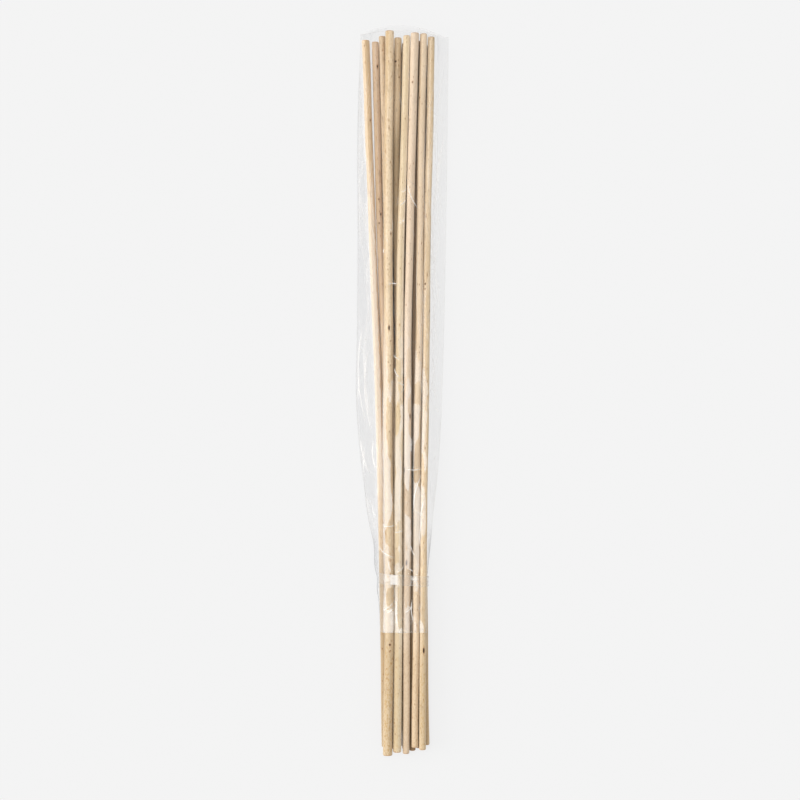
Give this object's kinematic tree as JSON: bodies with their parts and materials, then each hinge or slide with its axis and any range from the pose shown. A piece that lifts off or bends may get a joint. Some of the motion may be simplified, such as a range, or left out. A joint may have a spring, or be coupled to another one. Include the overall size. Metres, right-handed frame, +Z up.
{
  "type": "bundle of twigs",
  "caption": "Bundle of peeled decorative twigs lying in a clear film sleeve, open at the tips and gathered by clear tape near the bare butt ends.",
  "frame": {"origin": "middle of the overall box, on the floor that the bundle lies on", "axes": "+Y along the twigs towards their tips and the sleeve's open mouth, +Z up, +X to the right of the picture"},
  "size_m": [0.0902, 0.7046, 0.0188],
  "materials": {
    "peeled_wood": "dry peeled wood, satin, with small dark bud scars",
    "clear_film": "clear glossy film with fine creases",
    "clear_tape": "clear glossy adhesive tape"
  },
  "bodies": {
    "root": {"twig_01": "peeled_wood", "twig_02": "peeled_wood", "twig_03": "peeled_wood", "twig_04": "peeled_wood", "twig_05": "peeled_wood", "twig_06": "peeled_wood", "twig_07": "peeled_wood", "twig_08": "peeled_wood", "twig_09": "peeled_wood", "twig_10": "peeled_wood", "twig_11": "peeled_wood", "twig_12": "peeled_wood", "sleeve": "clear_film", "tape": "clear_tape"}
  },
  "joints": []
}
